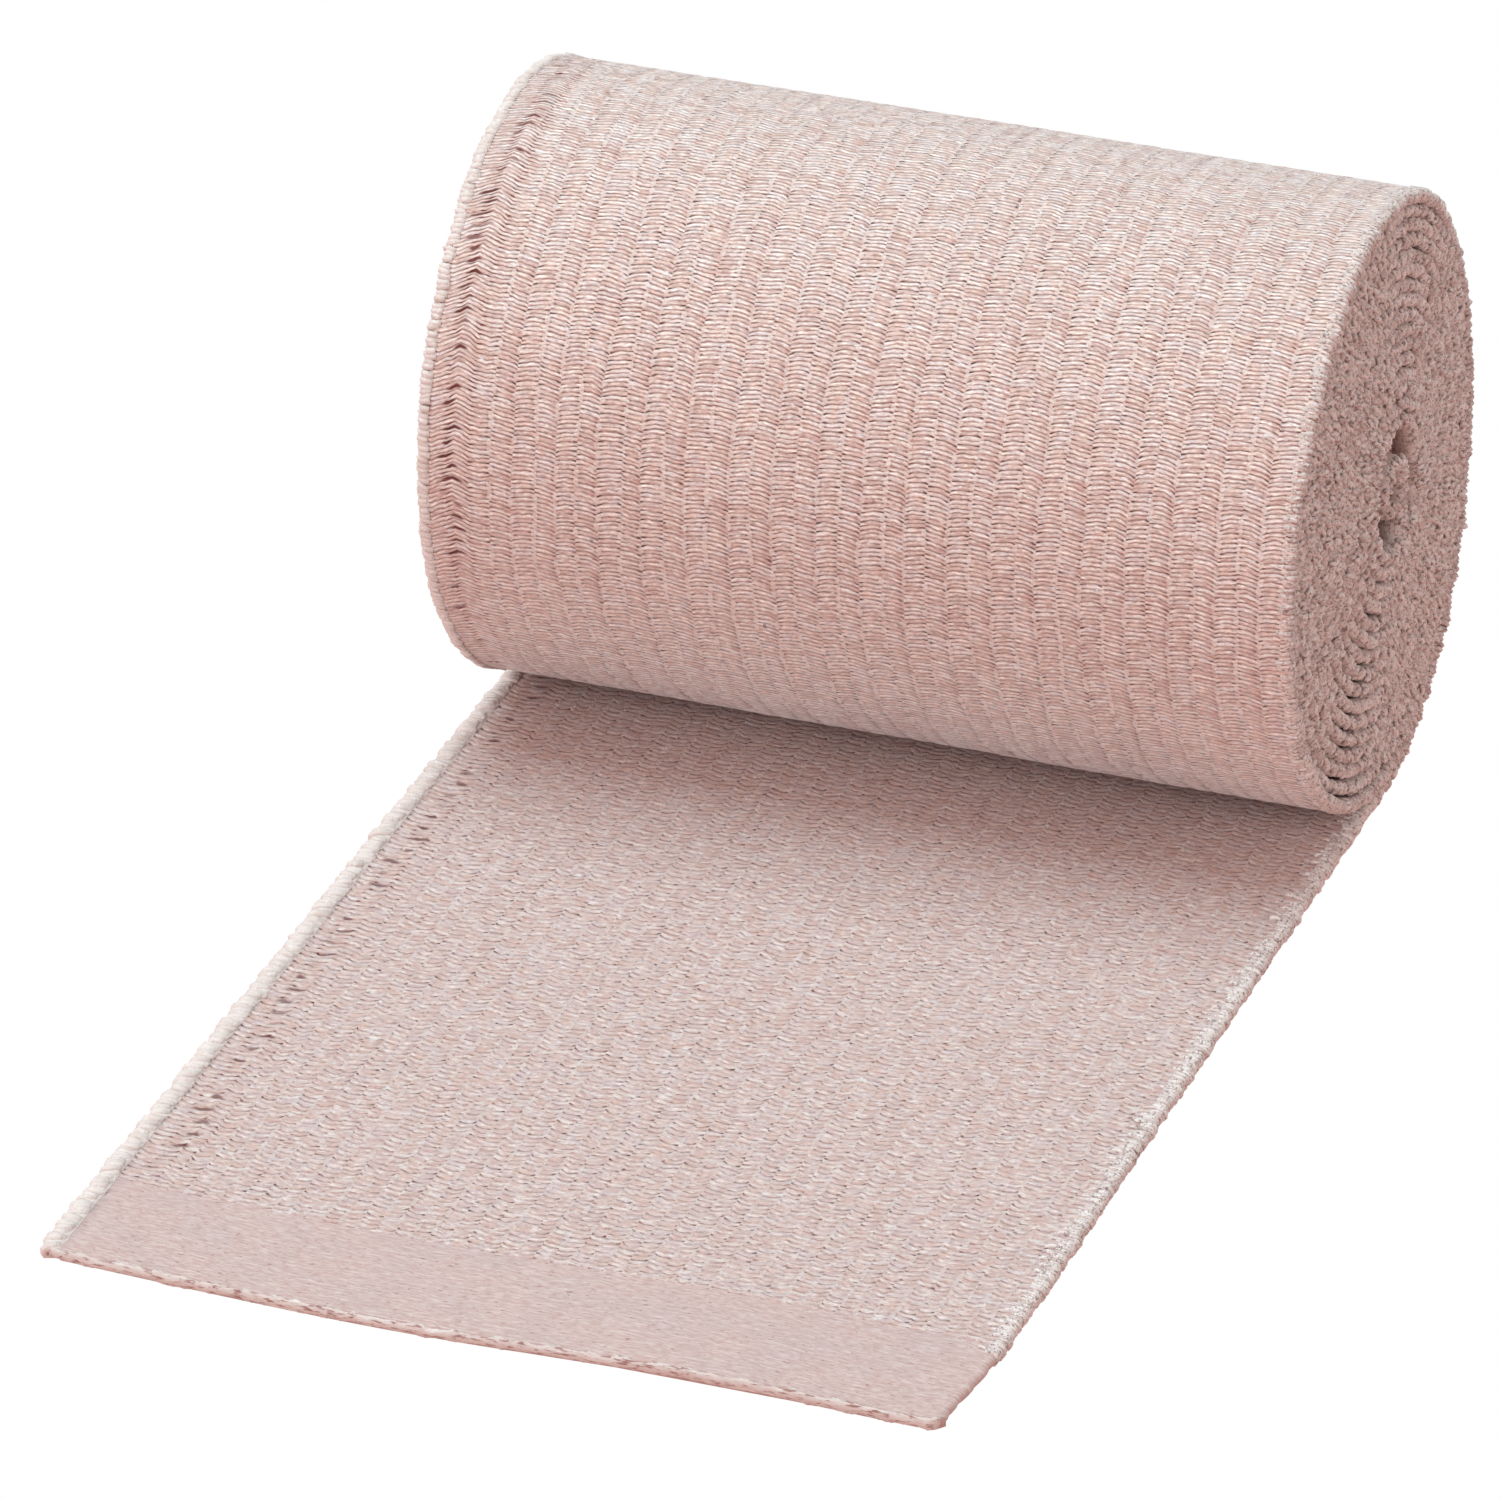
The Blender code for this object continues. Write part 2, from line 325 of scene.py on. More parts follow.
class Wiring:
    """Adds nodes to a tree, shader or geometry, and joins them."""

    def __init__(self, tree):
        self.tree = tree

    def node(self, kind, inputs=(), **settings):
        """A node with its properties set, its inputs given as values or as other nodes' sockets."""
        node = self.tree.nodes.new(kind)
        for name, value in settings.items():
            setattr(node, name, value)
        for key, value in dict(inputs).items():
            self.feed(node.inputs[key], value)
        return node

    def feed(self, socket, value):
        """Sets a socket, or links it where the value is a socket."""
        if isinstance(value, bpy.types.NodeSocket):
            self.tree.links.new(value, socket)
        elif value is not None:
            socket.default_value = value

    def math(self, operation, *values):
        """The result of a Math node."""
        return self.node("ShaderNodeMath", enumerate(values), operation=operation).outputs[0]

    def times(self, value, *others):
        """The product of values."""
        for other in others:
            value = self.math("MULTIPLY", value, other)
        return value

    def plus(self, value, *others):
        """The sum of values."""
        for other in others:
            value = self.math("ADD", value, other)
        return value

    def minus(self, a, b):
        """One value less another."""
        return self.math("SUBTRACT", a, b)

    def size_of(self, value):
        """A value without its sign."""
        return self.math("ABSOLUTE", value)

    def power(self, value, exponent):
        """A value to a power, its sign left off."""
        return self.math("POWER", self.size_of(value), exponent)

    def from_half(self, share):
        """How far a share is from a half, as 0 to 1."""
        return self.size_of(self.minus(self.times(share, 2.0), 1.0))

    def ramp(self, value, start, end, low=0.0, high=1.0, smooth=True):
        """A value carried from one range to another, held at its ends."""
        kind = "SMOOTHSTEP" if smooth else "LINEAR"
        inputs = {"Value": value, "From Min": start, "From Max": end, "To Min": low, "To Max": high}
        return self.node("ShaderNodeMapRange", inputs, interpolation_type=kind).outputs["Result"]

    def point(self, x=0.0, y=0.0, z=0.0):
        """Three values as a vector."""
        return self.node("ShaderNodeCombineXYZ", {"X": x, "Y": y, "Z": z}).outputs[0]

    def chance(self, x, y, z=0.0):
        """An even random value for a cell, from 0 to 1."""
        node = self.node("ShaderNodeTexWhiteNoise", {"Vector": self.point(x, y, z)}, noise_dimensions="3D")
        return node.outputs["Value"]

    def noise(self, vector, scale, detail=2.0, roughness=0.5):
        """Smooth noise, about 0.5."""
        inputs = {"Vector": vector, "Scale": scale, "Detail": detail, "Roughness": roughness}
        return self.node("ShaderNodeTexNoise", inputs).outputs[0]

    def cloth_noise(self, x, y, stretch, detail, roughness=0.5, layer=0.0):
        """Smooth noise over the cloth, with a scale of its own each way."""
        place = self.point(self.times(x, stretch[0]), self.times(y, stretch[1]), layer)
        return self.noise(place, 1.0, detail, roughness)

    def blend(self, factor, a, b, mode="MIX"):
        """Two colours mixed by a factor."""
        node = self.node("ShaderNodeMix", data_type="RGBA", blend_type=mode)
        self.feed(node.inputs[0], factor)
        self.feed(node.inputs[6], a)
        self.feed(node.inputs[7], b)
        return node.outputs[2]


def new_group(kind, name, inputs, outputs):
    """A node group with its sockets, and the wiring, entry and exit to fill it with."""
    group = bpy.data.node_groups.new(name, kind)
    for label, socket, value in inputs:
        made = group.interface.new_socket(name=label, in_out="INPUT", socket_type=socket)
        if value is not None:
            made.default_value = value
    for label, socket in outputs:
        group.interface.new_socket(name=label, in_out="OUTPUT", socket_type=socket)
    wiring = Wiring(group)
    entry = wiring.node("NodeGroupInput")
    leave = wiring.node("NodeGroupOutput")
    return group, wiring, entry.outputs, leave.inputs


FLOAT = "NodeSocketFloat"
GEOMETRY = "NodeSocketGeometry"


def weave_group(kind):
    """The weave at a place on the cloth: floats in bricks, pairs of yarns, nubs between the ribs.

    Across is in mm from the web's left edge and Yarn counts the weft yarns, with a crown at each
    whole number. Near the left edge the pairs part into arches with voids under them.
    """
    masks = ("Height", "Edge", "Gap", "Pair Gap", "Nub", "Tone", "Pull", "Valley", "Void", "Web")
    group, w, enter, leave = new_group(
        kind,
        "weave_" + kind[:6].lower(),
        (
            ("Across", FLOAT, 0.0),
            ("Yarn", FLOAT, 0.0),
            ("Rib Width", FLOAT, 2.0),
            ("Closing", FLOAT, 0.36),
            ("Seed", FLOAT, 0.0),
        ),
        tuple((name, FLOAT) for name in masks),
    )
    # Ribs: which one a place is in, and how far from its middle
    across, seed = enter["Across"], enter["Seed"]
    ribs = w.math("DIVIDE", across, enter["Rib Width"])
    rib = w.math("FLOOR", ribs)
    within = w.minus(ribs, rib)
    odd = w.size_of(w.math("MODULO", rib, 2.0))
    middle = w.from_half(within)
    web_zone = w.ramp(across, ARCH_WIDTH - 0.8, ARCH_WIDTH + 0.2)

    # Weft yarns: they wander, bow over each rib and step from rib to rib
    crook = w.times(w.minus(w.cloth_noise(across, enter["Yarn"], (1.1, 0.6), 1.0), 0.5), 0.7)
    arch = w.times(w.minus(1.0, w.power(middle, 2.0)), 0.22)
    drawn = w.plus(enter["Yarn"], crook, arch)
    step = w.plus(w.times(odd, 0.4), w.times(w.chance(rib, 17.0, seed), 0.3))
    yarn = w.plus(drawn, w.times(step, web_zone))
    row = w.math("FLOOR", w.plus(yarn, 0.5))
    edge = w.size_of(w.times(w.minus(yarn, row), 2.0))
    tone = w.chance(rib, row, seed)

    # Yarns lie in pairs, and the gaps between them close up here and there
    pairs = w.times(w.plus(yarn, 0.5, odd), 0.5)
    pair = w.math("FLOOR", pairs)
    split = w.from_half(w.minus(pairs, pair))
    pull = w.chance(rib, pair, w.plus(seed, 7.0))
    closed = w.cloth_noise(across, yarn, (0.9, 1.9), 2.0, 0.7)
    closed = w.ramp(closed, enter["Closing"], w.plus(enter["Closing"], 0.16), 0.12, 1.0)
    gap = w.times(w.ramp(edge, 0.45, 1.0), closed)
    pair_gap = w.times(gap, w.ramp(split, 0.45, 0.8))

    # Between two ribs the gaps show most, and a warp thread crosses over as a pale nub
    bound = w.math("FLOOR", w.plus(ribs, 0.5))
    beside = w.size_of(w.minus(ribs, bound))
    pair_gap = w.times(pair_gap, w.ramp(beside, 0.08, 0.3, 1.0, 0.12))
    gap = w.times(gap, w.ramp(beside, 0.06, 0.3, 1.0, 0.5))
    stagger = w.math("FLOOR", w.times(w.chance(bound, 5.0, seed), 2.0))
    crossings = w.times(w.plus(drawn, 0.5, stagger), 0.5)
    crossing = w.math("FLOOR", crossings)
    jitter = w.times(w.minus(w.chance(bound, crossing, 11.0), 0.5), 0.22)
    aside = w.plus(w.times(w.minus(ribs, bound), enter["Rib Width"]), jitter)
    above = w.times(w.minus(w.minus(crossings, crossing), 0.5), 2.3)
    distance = w.plus(w.power(w.math("DIVIDE", aside, NUB_HALF_WIDTH), 2.2), w.power(above, 2.6))
    present = w.ramp(w.chance(crossing, bound, w.plus(seed, 13.0)), 0.0, 0.75)
    nub = w.times(w.ramp(distance, 0.5, 1.35, 1.0, 0.0), present, web_zone)

    # Lens-shaped voids under the arches by the left edge
    groups = w.math("DIVIDE", yarn, VOID_YARNS)
    lens = w.math("FLOOR", groups)
    high = w.times(w.minus(w.minus(groups, lens), 0.5), 6.5)
    centre = w.plus(ARCH_PEAK - 1.0, w.times(w.chance(lens, 1.0, seed), 1.5))
    reach = w.plus(0.4, w.times(w.chance(lens, 3.0, seed), 0.7))
    wide = w.math("DIVIDE", w.minus(across, centre), reach)
    round_lens = w.math("SQRT", w.plus(w.power(wide, 2.0), w.power(high, 2.0)))
    opened = w.ramp(w.chance(lens, 2.0, seed), 0.0, 0.7)
    shaded_void = w.times(w.ramp(round_lens, 0.5, 1.15, 1.0, 0.0), opened, w.minus(1.0, web_zone))

    # Height: round yarns that sink between the ribs and in the voids, and rise at the nubs
    lean = w.times(odd, w.ramp(within, 0.45, 1.0), w.plus(0.3, tone))
    dip = w.times(w.power(middle, 4.0), 0.22)
    valley = w.times(w.math("MAXIMUM", dip, w.times(lean, 0.5)), web_zone)
    parted = w.plus(0.3, w.times(closed, 0.7))
    crown = w.minus(1.0, w.times(w.power(edge, 2.2), parted))
    body = w.minus(crown, w.times(pull, split, 0.45))
    height = w.plus(w.minus(body, valley), w.times(nub, 0.65))
    height = w.minus(height, w.times(shaded_void, 1.8))
    bare = w.minus(1.0, nub)
    gap, pair_gap = w.times(gap, bare), w.times(pair_gap, bare)
    for mask, value in zip(masks, (height, edge, gap, pair_gap, nub, tone, pull, valley, shaded_void, web_zone)):
        w.feed(leave[mask], value)
    return group


def relief_tree():
    """Raises a woven sheet's face by its weave, and gives the sheet its material."""
    tree, w, enter, leave = new_group(
        "GeometryNodeTree",
        "woven_relief",
        (
            ("Sheet", GEOMETRY, None),
            ("Depth", FLOAT, YARN_DEPTH * MM),
            ("Rib Width", FLOAT, RIB_WIDTH),
            ("Yarn Share", FLOAT, 1.0),
            ("Closing", FLOAT, 0.36),
            ("Seed", FLOAT, WEAVE_SEED),
            ("Material", "NodeSocketMaterial", None),
        ),
        (("Sheet", GEOMETRY),),
    )

    def named(label):
        reader = w.node("GeometryNodeInputNamedAttribute", {"Name": label}, data_type="FLOAT")
        return reader.outputs["Attribute"]

    values = {name: enter[name] for name in ("Rib Width", "Closing", "Seed")}
    values.update({"Across": named("across"), "Yarn": w.times(named("yarn"), enter["Yarn Share"])})
    pattern = w.node("GeometryNodeGroup", values, node_tree=weave_group("GeometryNodeTree"))
    lift = w.times(w.times(pattern.outputs["Height"], enter["Depth"]), named("relief"))
    normal = w.node("GeometryNodeInputNormal").outputs[0]
    offset = w.node("ShaderNodeVectorMath", {0: normal, "Scale": lift}, operation="SCALE")
    moved = w.node("GeometryNodeSetPosition", {"Geometry": enter["Sheet"], "Offset": offset.outputs[0]})
    real = w.node("GeometryNodeRealizeInstances", {"Geometry": moved.outputs[0]})
    dressing = {"Geometry": real.outputs[0], "Material": enter["Material"]}
    dressed = w.node("GeometryNodeSetMaterial", dressing)
    w.feed(leave["Sheet"], dressed.outputs[0])
    return tree


def loops_tree():
    """Yarn loops set evenly along an edge line, then varied a little in lean, size and place."""
    tree, w, enter, leave = new_group(
        "GeometryNodeTree",
        "edge_loops",
        (
            ("Edge", GEOMETRY, None),
            ("Loop", "NodeSocketObject", None),
            ("Pitch", FLOAT, 0.6 * MM),
            ("Outward", "NodeSocketVector", (1.0, 0.0, 0.0)),
            ("Size", FLOAT, 1.0),
            ("Size Spread", FLOAT, 0.2),
            ("Scatter", FLOAT, 0.1 * MM),
            ("Lean", FLOAT, 0.2),
            ("Shade From", FLOAT, 0.0),
            ("Shade To", FLOAT, 1.0),
            ("Seed", "NodeSocketInt", 1),
            ("Material", "NodeSocketMaterial", None),
        ),
        (("Loops", GEOMETRY),),
    )

    def spread(label, shares, seed):
        """A random vector either way of none, as far as an input says, with a share for each axis."""
        ends = []
        for sign in (1.0, -1.0):
            end = {0: tuple(sign * share for share in shares), "Scale": enter[label]}
            ends.append(w.node("ShaderNodeVectorMath", end, operation="SCALE").outputs[0])
        draw = {0: ends[0], 1: ends[1], "Seed": w.plus(enter["Seed"], seed)}
        return w.node("FunctionNodeRandomValue", draw, data_type="FLOAT_VECTOR").outputs[0]

    curve = w.node("GeometryNodeMeshToCurve", {"Mesh": enter["Edge"]})
    spacing = {"Curve": curve.outputs[0], "Length": enter["Pitch"]}
    points = w.node("GeometryNodeCurveToPoints", spacing, mode="LENGTH").outputs
    axes = {0: points["Tangent"], 1: enter["Outward"]}
    facing = w.node("FunctionNodeAxesToRotation", axes, primary_axis="Y", secondary_axis="X")
    tilt = w.node("FunctionNodeEulerToRotation", {0: spread("Lean", (1.0, 0.4, 0.8), 1.0)})
    turns = {0: facing.outputs[0], 1: tilt.outputs[0]}
    turned = w.node("FunctionNodeRotateRotation", turns, rotation_space="LOCAL")
    even = w.point(enter["Size"], enter["Size"], enter["Size"])
    sizes = {0: spread("Size Spread", (0.7, 1.0, 0.5), 2.0), 1: even}
    size = w.node("ShaderNodeVectorMath", sizes, operation="ADD")
    loop = w.node("GeometryNodeObjectInfo", {"Object": enter["Loop"]}).outputs["Geometry"]
    placing = {"Instance": loop, "Rotation": turned.outputs[0], "Scale": size.outputs[0]}
    placed = w.node("GeometryNodeInstanceOnPoints", dict(placing, Points=points["Points"]))
    shift = {"Instances": placed.outputs[0], "Translation": spread("Scatter", (1.0, 0.6, 1.0), 3.0)}
    moved = w.node("GeometryNodeTranslateInstances", shift)
    draw = {2: enter["Shade From"], 3: enter["Shade To"], "Seed": w.plus(enter["Seed"], 4.0)}
    shade = w.node("FunctionNodeRandomValue", draw, data_type="FLOAT")
    keeping = {"Geometry": moved.outputs[0], "Name": "shade", "Value": shade.outputs[1]}
    kept = w.node("GeometryNodeStoreNamedAttribute", keeping, data_type="FLOAT", domain="INSTANCE")
    real = w.node("GeometryNodeRealizeInstances", {"Geometry": kept.outputs[0]})
    smooth = w.node("GeometryNodeSetShadeSmooth", {"Geometry": real.outputs[0]})
    dressing = {"Geometry": smooth.outputs[0], "Material": enter["Material"]}
    dressed = w.node("GeometryNodeSetMaterial", dressing)
    w.feed(leave["Loops"], dressed.outputs[0])
    return tree


def placed(name, data):
    """An object of some data, at the origin of the scene."""
    made = bpy.data.objects.new(name, data)
    bpy.context.scene.collection.objects.link(made)
    return made


def run_tree(source, tree, values):
    """The plain mesh that a tree makes of an object, its inputs set by their identifiers."""
    modifier = source.modifiers.new("make", "NODES")
    modifier.node_group = tree
    for item in tree.interface.items_tree:
        if item.item_type == "SOCKET" and item.in_out == "INPUT" and item.name in values:
            modifier[item.identifier] = values[item.name]
    bpy.context.view_layer.update()
    graph = bpy.context.evaluated_depsgraph_get()
    mesh = bpy.data.meshes.new_from_object(source.evaluated_get(graph))
    source.modifiers.remove(modifier)
    return mesh


def show(name, mesh, material):
    """A mesh as an object in the scene, smooth, with its material."""
    if not mesh.materials:
        mesh.materials.append(material)
    mesh.shade_smooth()
    return placed(name, mesh)


def float_attribute(mesh, name, values):
    """Stores one value for each point of a mesh."""
    attribute = mesh.attributes.new(name, "FLOAT", "POINT")
    attribute.data.foreach_set("value", np.ascontiguousarray(values, np.float32))


def mesh_of(name, points, faces):
    """A mesh from points in mm and faces given as lists of point numbers."""
    mesh = bpy.data.meshes.new(name)
    mesh.vertices.add(len(points))
    mesh.vertices.foreach_set("co", (np.asarray(points) * MM).astype(np.float32).ravel())
    loops = np.concatenate([np.asarray(face_set).ravel() for face_set in faces])
    sizes = np.concatenate([np.full(len(face_set), np.asarray(face_set).shape[1]) for face_set in faces])
    mesh.loops.add(len(loops))
    mesh.loops.foreach_set("vertex_index", loops.astype(np.int32))
    mesh.polygons.add(len(sizes))
    starts = np.concatenate([[0], np.cumsum(sizes)[:-1]])
    mesh.polygons.foreach_set("loop_start", starts.astype(np.int32))
    mesh.update(calc_edges=True)
    mesh.validate()
    return mesh


def tube_faces(rings, sides, turned=False):
    """Faces of a closed tube, its points numbered ring by ring, or the same faces turned over."""
    number = np.arange(rings * sides).reshape(rings, sides)
    after = np.roll(number, -1, axis=1)
    corners = [number[:-1], after[:-1], after[1:], number[1:]]
    ends = [number[0][::-1][None, :], number[-1][None, :]]
    if turned:
        corners = corners[:1] + corners[:0:-1]
        ends = [end[:, ::-1] for end in ends]
    return [np.stack(corners, -1).reshape(-1, 4)] + ends


def rib_stations(left, right, shares, width, rim):
    """Places across the band where the grid has a column: shares of every rib, and a rounded rim."""
    count = int(math.ceil((right - left) / width)) + 1
    places = [left + (index + share) * width for index in range(count) for share in shares]
    inside = [place for place in places if left < place < right - 1.15 * rim[0]]
    return np.array([left] + inside + [right - back for back in rim])


def zigzag(across, rib_width, reach):
    """How far, in yarns, the weft runs back along the band over one rib, and forth over the next."""
    places = np.array([0.0, 0.5, 1.0]) * 2.0 * rib_width
    return np.interp(across % (2.0 * rib_width), places, [0.0, -reach, 0.0])


def rolled_slope(across):
    """How far the weft runs along the band as it crosses the outer face: arches, then a zigzag."""
    arches = np.interp(across, [0.0, 0.6, ARCH_PEAK, ARCH_WIDTH], [0.3, 0.3, -2.3, -0.5])
    ribbed = smoothstep((across - ARCH_WIDTH + 0.4) / 0.8)
    return zigzag(across, RIB_WIDTH, 0.75) * ribbed + arches * (1.0 - ribbed)


def laid_slope(across):
    """The same for the laid end: a zigzag alone."""
    return zigzag(across, FINE_RIB, 0.8)


def yarn_rows(start, end):
    """Places along the band of a sheet's rows, two to each weft yarn."""
    fine = np.linspace(start, end, 4000)
    pitch = YARN_PITCH * (1.0 + LOW_STRETCH * np.exp(-(((fine - LINE.low_front) / LOW_REACH) ** 2)))
    yarns = np.concatenate([[0.0], np.cumsum(np.diff(fine) / pitch[1:])])
    rows = int(round(yarns[-1])) * 2 + 1
    return np.interp(np.linspace(0.0, yarns[-1], rows), yarns, fine)


def woven_sheet(name, stations, start, end, slope, face):
    """A closed sheet of cloth whose one face is a grid with two rows to each weft yarn.

    face is 1 for the outer face of the band and -1 for its inner one. The other face is plain.
    The right edge is rounded over a rim.
    """
    base = yarn_rows(start, end)
    rows = len(base)
    left, right = stations[0], stations[-1]
    ease = smoothstep((base - start) / 2.0) * smoothstep((end - base) / 2.0)
    drawn = slope(stations - left)[None, :] * YARN_PITCH
    drawn = drawn + ROW_WANDER * ROW_DRIFT.at(stations[None, :], base[:, None])
    along = base[:, None] + ease[:, None] * drawn
    inner = smoothstep((stations - left) / 2.0) * smoothstep((right - stations) / 2.0)
    x = stations[None, :] + RIB_WANDER * inner[None, :] * RIB_DRIFT.at(stations[None, :], base[:, None])
    past = np.clip((stations - right + RIM_WIDTH) / RIM_WIDTH, 0.0, 1.0)
    round_off = HALF_LAYER * np.sqrt(np.clip(1.0 - past**2, 0.0, 1.0))
    grid = cloth_point(x, along, face * round_off[None, :])
    columns = len(stations)
    ends = np.array([0, columns - 1])
    behind = -face * HALF_LAYER
    back_out = behind * np.array([1.0, 0.35])
    plain = cloth_point(x[:, ends], along[:, ends], back_out[None, :])
    plain[:, 1] = 0.5 * (plain[:, 1] + cloth_point(x[:, -1] - RIM_WIDTH, along[:, -1], behind))
    rims = []
    for row in (0, rows - 1):
        rims.append(cloth_point(x[row, 1:-1], along[row, 1:-1], np.full(columns - 2, behind)))
    number = np.arange(rows * columns).reshape(rows, columns)
    back = rows * columns + np.arange(rows * 2).reshape(rows, 2)
    first_rim = rows * columns + rows * 2 + np.arange(columns - 2)
    last_rim = first_rim + columns - 2
    a, b = number[:-1], number[1:]
    grid_faces = np.stack([a[:, :-1], a[:, 1:], b[:, 1:], b[:, :-1]], -1).reshape(-1, 4)
    plain_faces = np.stack([back[1:-2, 1], back[1:-2, 0], back[2:-1, 0], back[2:-1, 1]], -1)
    left_faces = np.stack([a[:, 0], b[:, 0], back[1:, 0], back[:-1, 0]], -1)
    right_faces = np.stack([b[:, -1], a[:, -1], back[:-1, 1], back[1:, 1]], -1)
    first_line = np.concatenate([[back[0, 0]], first_rim, [back[0, 1]]])
    last_line = np.concatenate([[back[-1, 0]], last_rim, [back[-1, 1]]])
    first = np.stack([number[0, 1:], number[0, :-1], first_line[:-1], first_line[1:]], -1)
    last = np.stack([number[-1, :-1], number[-1, 1:], last_line[1:], last_line[:-1]], -1)
    first_back = np.concatenate([first_line[::-1], [back[1, 0], back[1, 1]]])[None, :]
    last_back = np.concatenate([last_line, [back[-2, 1], back[-2, 0]]])[None, :]
    faces = [grid_faces, plain_faces, left_faces, right_faces, first, last, first_back, last_back]
    if face > 0:
        faces = [face_set[:, ::-1] for face_set in faces]
    points = np.concatenate([grid.reshape(-1, 3), plain.reshape(-1, 3)] + rims)
    mesh = mesh_of(name, points, faces)

    def spread(values):
        whole = np.broadcast_to(values, (rows, columns))
        return np.concatenate([whole.ravel(), whole[:, ends].ravel(), whole[0, 1:-1], whole[-1, 1:-1]])

    yarn = np.arange(rows)[:, None] * 0.5
    relief = np.zeros((rows, columns)) + 0.35 + 0.65 * smoothstep((right - stations) / 0.6)[None, :]
    float_attribute(mesh, "across", spread(stations[None, :] - left))
    float_attribute(mesh, "yarn", spread(yarn))
    float_attribute(mesh, "along", spread(base[:, None]))
    flat = np.zeros(len(points))
    flat[: rows * columns] = relief.ravel()
    float_attribute(mesh, "relief", flat)
    return mesh


def edge_strip(name, profile, start, end, step, side):
    """A cross-section carried along the band: a selvage's body, or the web's turns inside the roll."""
    rows = max(2, int(round((end - start) / step)) + 1)
    along = np.linspace(start, end, rows)
    points = []
    for x, outward in profile:
        points.append(cloth_point(np.full(rows, x), along, outward))
    points = np.stack(points, 1)
    count = len(profile)
    faces = tube_faces(rows, count)
    if side < 0:
        faces = [face_set[:, ::-1] for face_set in faces]
    mesh = mesh_of(name, points.reshape(-1, 3), faces)
    float_attribute(mesh, "along", np.repeat(along, count))
    float_attribute(mesh, "shade", np.full(rows * count, 0.35))
    return mesh


def edge_line(name, x, start, end, outward):
    """A line of edges along the band for loops to be set on."""
    rows = max(2, int(round((end - start) / LINE_STEP)) + 1)
    along = np.linspace(start, end, rows)
    points = cloth_point(np.full(rows, x), along, outward)
    mesh = bpy.data.meshes.new(name)
    mesh.from_pydata([tuple(point * MM) for point in points], [(i, i + 1) for i in range(rows - 1)], [])
    return placed(name, mesh)


def yarn_loop(name, path, radius, sides):
    """A short tube of yarn along a path in the plane across the edge: x outward, z off the cloth."""
    points = []
    for index, (x, z) in enumerate(path):
        before, after = path[max(index - 1, 0)], path[min(index + 1, len(path) - 1)]
        run, rise = after[0] - before[0], after[1] - before[1]
        length = math.hypot(run, rise)
        run, rise = run / length, rise / length
        for side in range(sides):
            turn = FULL_TURN * side / sides
            off = radius * math.cos(turn)
            points.append((x - rise * off, radius * math.sin(turn), z + run * off))
    mesh = mesh_of(name, points, tube_faces(len(path), sides, turned=True))
    mesh.shade_smooth()
    made = placed(name, mesh)
    made.hide_render = True
    return made


def hook(reach, bend, steps):
    """Path of a yarn that comes over the cloth, turns round its edge and goes back under."""
    path = [(-reach, bend)]
    for index in range(steps + 1):
        turn = math.pi * (0.5 - index / steps)
        path.append((bend * 0.8 * math.cos(turn), bend * math.sin(turn)))
    path.append((-reach, -bend))
    return path


def joined(name, meshes, material):
    """Several meshes as one object, their attributes kept."""
    parts = [show(name + "_part", mesh, material) for mesh in meshes]
    for part in parts:
        part.data.materials.clear()
        part.data.materials.append(material)
    if len(parts) > 1:
        with bpy.context.temp_override(active_object=parts[0], selected_editable_objects=parts):
            bpy.ops.object.join()
    parts[0].name = name
    parts[0].data.name = name
    return parts[0]


def new_material(name, roughness, specular, sheen):
    """A material with its wiring and its shader, the even values set."""
    material = bpy.data.materials.new(name)
    material.use_nodes = True
    shader = material.node_tree.nodes["Principled BSDF"]
    shader.inputs["Roughness"].default_value = roughness
    shader.inputs["Specular IOR Level"].default_value = specular
    shader.inputs["Sheen Weight"].default_value = sheen
    return material, Wiring(material.node_tree), shader


def finish(w, shader, color, height, strength, depth):
    """Joins a material's colour and its bump, of a depth in mm, to the shader."""
    w.feed(shader.inputs["Base Color"], color)
    bump = w.node("ShaderNodeBump", {"Strength": strength, "Distance": depth * MM, "Height": height})
    w.feed(shader.inputs["Normal"], bump.outputs[0])


def stored(w, name):
    """A value that the piece's mesh keeps, in a material."""
    return w.node("ShaderNodeAttribute", attribute_name=name).outputs["Fac"]


